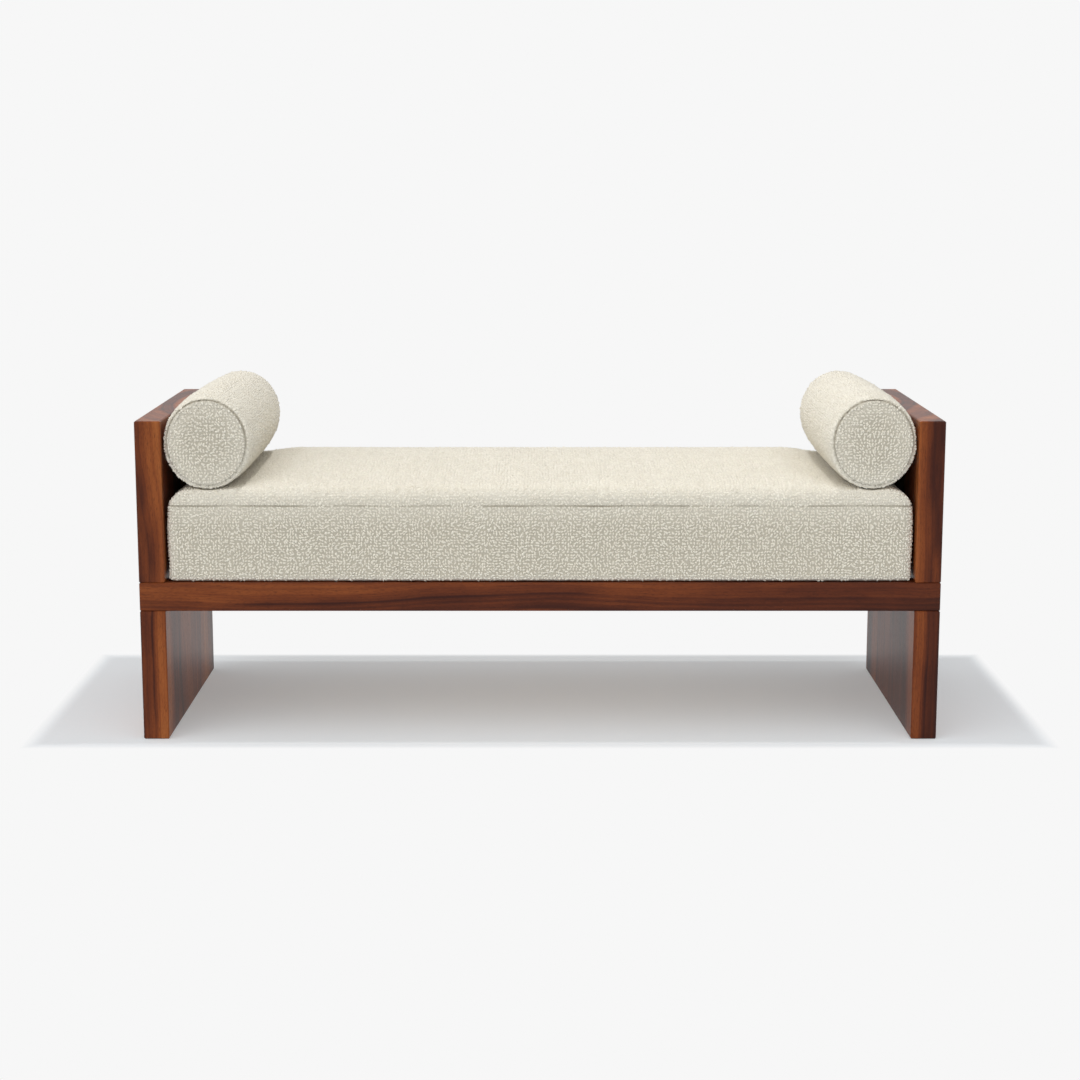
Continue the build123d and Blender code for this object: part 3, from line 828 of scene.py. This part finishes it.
def make_seat_cushion(material):
    low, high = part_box("seat_cushion_cover")
    zip_low, zip_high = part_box("seat_zip")
    zip_height = (zip_low.z + zip_high.z) / 2
    top_seam = high.z - TOP_SEAM_DROP
    foot_seam = low.z + FOOT_SEAM_RISE
    bolster_low, bolster_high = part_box("right_bolster_cover")
    bolster_middle = (bolster_high + bolster_low) / 2
    bolster_half = (bolster_high - bolster_low) / 2

    def beside_zip(points):
        along = np.abs(points[:, 0]) < zip_high.x + SEAT_ZIP_MARGIN
        return along & (points[:, 1] > zip_low.y - SEAT_ZIP_MARGIN)

    def hold(points, normals):
        height = points[:, 2]
        upright = np.hypot(normals[:, 0], normals[:, 1])
        at_top = bell(height - top_seam, SEAM_HOLD) * (upright > TOP_HELD) * TOP_HOLD
        at_foot = bell(height - foot_seam, SEAM_HOLD) * (upright > FOOT_HELD)
        at_zip = bell(height - zip_height, ZIP_HOLD) * beside_zip(points)
        return np.maximum(np.maximum(at_top, at_foot), at_zip)

    def seam(points, normals):
        x, y, z = points.T
        upright = between(np.hypot(normals[:, 0], normals[:, 1]), *SEAM_SHOWN)
        distance = z - top_seam - waves(0, SEAM_WAVER, x, y)
        return distance, np.array([0.0, 0.0, 1.0]), upright * waves(SEAM_DRAW, SEAM_DRAWN, x, y)

    def band(points):
        x, y, z = points.T
        at_zip = beside_zip(points)
        bare, fold = cloth_by_zip(np.abs(z - zip_height))
        bare = bare * at_zip
        # The sides are full in the middle and at the foot and lean in towards the top, and the
        # ends press against the panels.
        middle_of_side = smooth_between(np.abs(z - FULL_HEIGHT), FULL_HEIGHT - low.z, 0)
        at_foot = bell(z - low.z, FOOT_REACH)
        swung = SIDE_FULLNESS * middle_of_side + FOOT_FULLNESS * at_foot
        swung -= SIDE_LEAN * between(z, FULL_HEIGHT, high.z) ** 2
        on_side = between(np.abs(y), high.y - EDGE_REACH, high.y)
        along_side = 1 - between(np.abs(x), 0, high.x) ** 8
        on_end = between(np.abs(x), high.x - EDGE_REACH, high.x)
        along_end = 1 - between(np.abs(y), 0, high.y) ** 16
        shift = np.zeros(points.shape)
        shift[:, 0] = END_FULLNESS * np.maximum(middle_of_side, at_foot) * on_end * along_end * np.sign(x)
        shift[:, 1] = swung * on_side * along_side * np.sign(y) * (~at_zip | (y < 0))
        shift[:, 1] += bare * (zip_low.y + CLOTH_UNDER_ZIP - y) + fold * at_zip
        return shift, np.maximum(bare, z < low.z + BARE_FOOT)

    def rest(points):
        """On the deck, and dented by the bolsters."""
        along = points[:, 1]
        aside = (np.abs(points[:, 0]) - bolster_middle.x) / bolster_half.x
        under = (np.abs(aside) < 1) & (along > bolster_low.y) & (along < bolster_high.y)
        round_under = np.sqrt(np.maximum(1 - aside ** 2, 0)) * bolster_half.z
        dent = bolster_middle.z - round_under - SINK
        points = press_down(points, np.where(under, dent, FAR))
        points[:, 2] *= -1
        points = press_down(points, -low.z)
        points[:, 2] *= -1
        return points

    cushion = make_padded("seat_cushion", "seat_cushion_cover", "seat_foam_core", hold, seam, band, rest)
    finish_padded(cushion, material, "seat_cushion", "seat_cushion_cover")


def make_bolster(side, material):
    node = f"{side}_bolster_cover"
    low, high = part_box(node)
    zip_low, zip_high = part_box(f"{side}_bolster_zip")
    centre = (low + high) / 2
    half = (high - low) / 2
    mean_radius = (half.x + half.z) / 2
    seam_width = half.x - CAP_SEAM_INSET
    seam_height = half.z - CAP_SEAM_INSET
    zip_out = (zip_low + zip_high) / 2 - centre
    zip_out.y = 0
    zip_reach = zip_out.length - CHAIN_THICKNESS / 2
    zip_out.normalize()

    def from_axis(points):
        """How far to the right of the bolster's axis and above it each point is."""
        return points[:, 0] - centre.x, points[:, 2] - centre.z

    def from_zip(points):
        """How far to the side of the zip's middle each point is."""
        right, up = from_axis(points)
        outside = right * zip_out.x + up * zip_out.z > 0
        inside = np.abs(points[:, 1]) < zip_high.y + BOLSTER_ZIP_MARGIN
        return np.where(outside & inside, np.abs(right * zip_out.z - up * zip_out.x), FAR)

    def hold(points, normals):
        to_cap = np.minimum(points[:, 1] - low.y, high.y - points[:, 1])
        held = bell(to_cap - CAP_STITCH, CAP_HOLD) * (np.abs(normals[:, 1]) < SIDE_HELD)
        return np.maximum(held, bell(from_zip(points), ZIP_HOLD))

    def seam(points, normals):
        right, up = from_axis(points)
        distance = (np.hypot(right / seam_width, up / seam_height) - 1) * (seam_width + seam_height) / 2
        away = np.column_stack([right, np.zeros(len(points)), up])
        strength = between(np.abs(normals[:, 1]), *CAP_SEAM_SHOWN)
        return distance, away / np.maximum(lengths(away), MM), strength

    def band(points):
        right, up = from_axis(points)
        y = points[:, 1]
        front = y < centre.y
        puffed = REAR_PUFF * between(y, centre.y, high.y) ** 4
        to_end = np.where(front, y - low.y, high.y + REAR_PUFF - y - puffed)
        # The rear end is a little narrower, and each cap's edge is rolled to a round rim.
        taper = smooth_between(to_end, TAPER_LENGTH, REAR_RIM_ROUND)
        narrowed = 1 - END_NARROWING / mean_radius * ~front * taper
        round_by = np.where(front, RIM_ROUND, REAR_RIM_ROUND)
        radius = np.hypot(right / half.x, up / half.z) * mean_radius * narrowed
        beyond = radius - (mean_radius - END_NARROWING * ~front - round_by)
        behind = round_by - to_end
        corner = (beyond > 0) & (behind > 0)
        reach = np.hypot(beyond, behind)
        roll = np.where(corner & (reach > round_by), round_by / np.maximum(reach, MM), 1.0)
        rolled = narrowed * (1 + (roll - 1) * beyond / np.maximum(radius, MM)) - 1
        # The cloth lies flat under the zip, with a fold on either side of it.
        bare, fold = cloth_by_zip(from_zip(points))
        lift = bare * (zip_reach + CLOTH_UNDER_ZIP - right * zip_out.x - up * zip_out.z) + fold
        along = puffed + behind * (roll - 1) * np.where(front, -1, 1)
        return np.column_stack([right * rolled + lift * zip_out.x, along,
                                up * rolled + lift * zip_out.z]), bare

    def rest(points):
        points[:, 2] -= SINK
        return points

    bolster = make_padded(f"{side}_bolster", node, f"{side}_bolster_core", hold, seam, band, rest, SINK)
    finish_padded(bolster, material, f"{side}_bolster", node)


# ---- Zips ----
def block(size, centre, soften, material):
    """A block with softened edges."""
    bpy.ops.mesh.primitive_cube_add(size=1.0, location=centre)
    piece = bpy.context.object
    piece.scale = size
    bpy.ops.object.transform_apply()
    apply_modifier(piece, "BEVEL", width=soften, segments=1)
    piece.data.materials.append(material)
    return piece


def open_faces(piece, chosen):
    """Opens a piece for editing, with the faces selected that chosen(face) names."""
    only(piece)
    bpy.ops.object.mode_set(mode="EDIT")
    bpy.ops.mesh.select_mode(type="FACE")
    bpy.ops.mesh.select_all(action="DESELECT")
    bpy.ops.object.mode_set(mode="OBJECT")
    for face in piece.data.polygons:
        face.select = chosen(face)
    bpy.ops.object.mode_set(mode="EDIT")


def join(name, pieces, lie):
    """One piece from several, moved from where they were made to where they lie."""
    only(pieces[0])
    for piece in pieces:
        piece.select_set(True)
    bpy.ops.object.join()
    pieces[0].name = name
    pieces[0].data.transform(lie)
    pieces[0].data.update()
    return pieces[0]


def make_zip(node, body, axis, out, origin, tape_cloth, metal):
    """A zip's tape with two rows of teeth that meet in the middle, and its slider.

    It is made flat, along X. On its cover it runs along axis, 0 or 1, and faces out, with its
    middle at origin.
    """
    low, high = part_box(node)
    length = high[axis] - low[axis]
    slider_place = middle(f"{node}_slider")[axis]
    along = Vector((1 - axis, axis, 0))
    lie = Matrix.Translation(origin) @ Matrix((along, out.cross(along), out)).transposed().to_4x4()
    teeth_height = CHAIN_THICKNESS - TOOTH[2] / 2
    tape_top = CLOTH_UNDER_ZIP + TAPE[1]
    pieces = [block((length, *TAPE), (0, 0, tape_top - TAPE[1] / 2 + TAPE_RISE), TAPE_EDGE, tape_cloth)]
    count = int((length - 2 * STOP[0]) / TOOTH_PITCH) - 1
    for side in (-1, 1):
        first = (-count * TOOTH_PITCH / 2 + side * TOOTH_PITCH / 4, side * TOOTH[1] * TEETH_MESH,
                 teeth_height)
        row = block(TOOTH, first, TOOTH_EDGE, metal)
        apply_modifier(row, "ARRAY", count=count, use_relative_offset=False, use_constant_offset=True,
                       constant_offset_displace=(TOOTH_PITCH, 0, 0))
        cord = block((length - 2 * STOP[0], *CORD),
                     (0, side * (TOOTH[1] + CORD_AWAY), tape_top + CORD_RISE), TOOTH_EDGE, tape_cloth)
        stop = block(STOP, (side * (length - STOP[0]) / 2, 0, CHAIN_THICKNESS - STOP[2] / 2), STOP_EDGE,
                     metal)
        pieces += [row, cord, stop]
    chain = join(f"{node}_with_teeth", pieces, lie)
    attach(chain, body)
    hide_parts(node)

    top = CHAIN_THICKNESS + SLIDER_RISE

    def part(size, place, soften, turn=(1, 1)):
        """One block of the slider, on the side that turn says."""
        x, y, z = (far * MM for far in place)
        return block([far * MM for far in size], (slider_place + turn[0] * x, turn[1] * y, top + z),
                     soften * MM, metal)

    plate = part(*PLATE)
    open_faces(plate, lambda face: face.center.x > slider_place + NOSE[0])
    bpy.ops.transform.resize(value=(1, NOSE[1], 1), center_override=(slider_place, 0, top))
    bpy.ops.object.mode_set(mode="OBJECT")
    pull = part(*PULL)
    open_faces(pull, lambda face: face.normal.z > 0.9)
    bpy.ops.mesh.inset(thickness=PULL_FRAME)
    bpy.ops.transform.translate(value=(0, 0, -PULL_HOLLOW))
    bpy.ops.object.mode_set(mode="OBJECT")
    parts = [plate, pull, part(*EYE), part(*BRIDGE)]
    for side in (-1, 1):
        parts += [part(*FLANGE, (1, side)), part(*FOOT, (side, 1)), part(*ARM, (1, side))]
    slider = join(f"{node}_slider_with_pull", parts, lie)
    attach(slider, f"{node}_slider")
    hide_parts(f"{node}_slider")


def make_zips():
    tape_cloth = plain_tape("zip_tape", colour(226, 218, 202), colour(190, 180, 160))
    metal = brushed_metal("zip_nickel", colour(205, 203, 198), colour(170, 168, 162), 0.3)
    low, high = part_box("seat_zip")
    make_zip("seat_zip", "seat_cushion", 0, Vector((0, 1, 0)), (0, low.y, (low.z + high.z) / 2),
             tape_cloth, metal)
    for side in ("left", "right"):
        node = f"{side}_bolster_zip"
        out = middle(node) - middle(f"{side}_bolster_cover")
        out.y = 0
        out.normalize()
        origin = middle(node) - out * CHAIN_THICKNESS / 2 - Vector((0, 0, SINK))
        make_zip(node, f"{side}_bolster", 1, out, origin, tape_cloth, metal)


# ---- Floor, light and camera ----
BACKGROUND = 0.93  # the pale ground, as the camera sees it
SKY_LEVEL = 0.28  # the light from the horizon at the sides
SKY_RISE = 0.24  # how much stronger it is overhead
SKY_LEAN = 0.22  # how much stronger it is at the front
# Two broad soft lights: one low on the left of the front, one high in front.
FILLS = ((0.9, 4.0, (-0.74, -0.56, 0.37)), (0.75, 5.0, (0.0, -0.66, 0.75)))
LAMP_PLACE = (0.0, -0.15, 3.03)  # one small lamp hangs over the middle of the bench
LAMP_POWER = 60.0
LAMP_RADIUS = 0.04
FLOOR_PAINT = (0.90, 0.945, 0.98, 1.0)
LIT_GROUND = (0.985, 0.337, 0.418)  # the floor shows its shadow as far to the sides, front and rear
LIT_EDGE = 0.03  # over this distance the floor turns plain
PALE_GROUND = 0.27  # how much of its light and shadow the floor hides before that
FLOOR_SIZE = 160.0
CAMERA_PLACE = (0.0, -4.401, 1.128)
CAMERA_TILT = 79.93  # degrees up from straight down
CAMERA_LENS = 71.74  # in millimetres, as is the sensor
SENSOR_WIDTH = 36.0
VIEW_LIMIT = 500.0


def seen_rays(finish):
    """1 for the rays that show the pale ground: the camera's, and those off metal or through glass."""
    seen = finish.node("LightPath", {}, {}, "Is Camera Ray")
    for ray in ("Is Glossy Ray", "Is Transmission Ray"):
        seen = seen.of("MAXIMUM", finish.node("LightPath", {}, {}, ray))
    return seen


def lay_floor():
    bpy.ops.mesh.primitive_plane_add(size=FLOOR_SIZE, location=(0, 0, 0))
    floor = bpy.context.object
    floor.name = "floor"
    ground = Finish("floor_paint", roughness=1.0, specular_ior_level=0.0)
    ground.shader.inputs["Base Color"].default_value = FLOOR_PAINT
    x, y, _ = ground.axes(ground.place())
    beyond = (x.of("ABSOLUTE") - LIT_GROUND[0]).of("MAXIMUM", y * -1 - LIT_GROUND[1])
    beyond = beyond.of("MAXIMUM", y - LIT_GROUND[2])
    far = beyond.ease(0, LIT_EDGE)
    hidden = (PALE_GROUND + far * (1 - PALE_GROUND)) * seen_rays(ground)
    glow = ground.node("Emission", {}, {"Color": (BACKGROUND,) * 3 + (1,)})
    blend = ground.node("MixShader", {}, {0: hidden, 2: glow})
    ground.tree.links.new(ground.shader.outputs[0], blend.socket.node.inputs[1])
    ground.tree.links.new(blend.socket, ground.tree.nodes["Material Output"].inputs["Surface"])
    floor.data.materials.append(ground.material)


class Sky(Finish):
    """The light of the studio, from all round."""

    def __init__(self, name):
        self.world = bpy.data.worlds.new(name)
        self.world.use_nodes = True
        self.tree = self.world.node_tree


def light_studio():
    sky = Sky("studio")
    bpy.context.scene.world = sky.world
    shown = seen_rays(sky)
    direction = sky.node("TexCoord", {}, {}, "Generated")
    _, back, rise = sky.axes(direction)
    light = (rise * SKY_RISE - back * SKY_LEAN + SKY_LEVEL).of("MAXIMUM", 0)
    for level, spread, source in FILLS:
        toward = sky.node("VectorMath", {"operation": "DOT_PRODUCT"}, {0: direction, 1: source}, "Value")
        light = light + toward.of("MAXIMUM", 0) ** spread * level
    strength = light + (BACKGROUND - light) * shown
    ground = sky.tree.nodes["Background"]
    ground.inputs["Color"].default_value = (1, 1, 1, 1)
    sky.tree.links.new(strength.socket, ground.inputs["Strength"])
    lamp = bpy.data.lights.new("lamp", "POINT")
    lamp.energy = LAMP_POWER
    lamp.shadow_soft_size = LAMP_RADIUS
    place_in_scene("lamp", lamp).location = LAMP_PLACE


def set_camera():
    camera = bpy.data.cameras.new("camera")
    camera.lens = CAMERA_LENS
    camera.sensor_width = SENSOR_WIDTH
    camera.clip_end = VIEW_LIMIT
    stand = place_in_scene("camera", camera)
    stand.location = CAMERA_PLACE
    stand.rotation_euler = Euler((radians(CAMERA_TILT), 0, 0))
    bpy.context.scene.camera = stand
    bpy.context.scene.view_settings.view_transform = "Standard"


# ---- Making it ----
set_camera()
lay_floor()
light_studio()
dress_timber()
dress_hardware()
seat_cloth = loop_pile("loop_pile_seat")
bolster_cloth = loop_pile("loop_pile_bolster")
make_seat_cushion(seat_cloth)
make_bolster("left", bolster_cloth)
make_bolster("right", bolster_cloth)
make_zips()
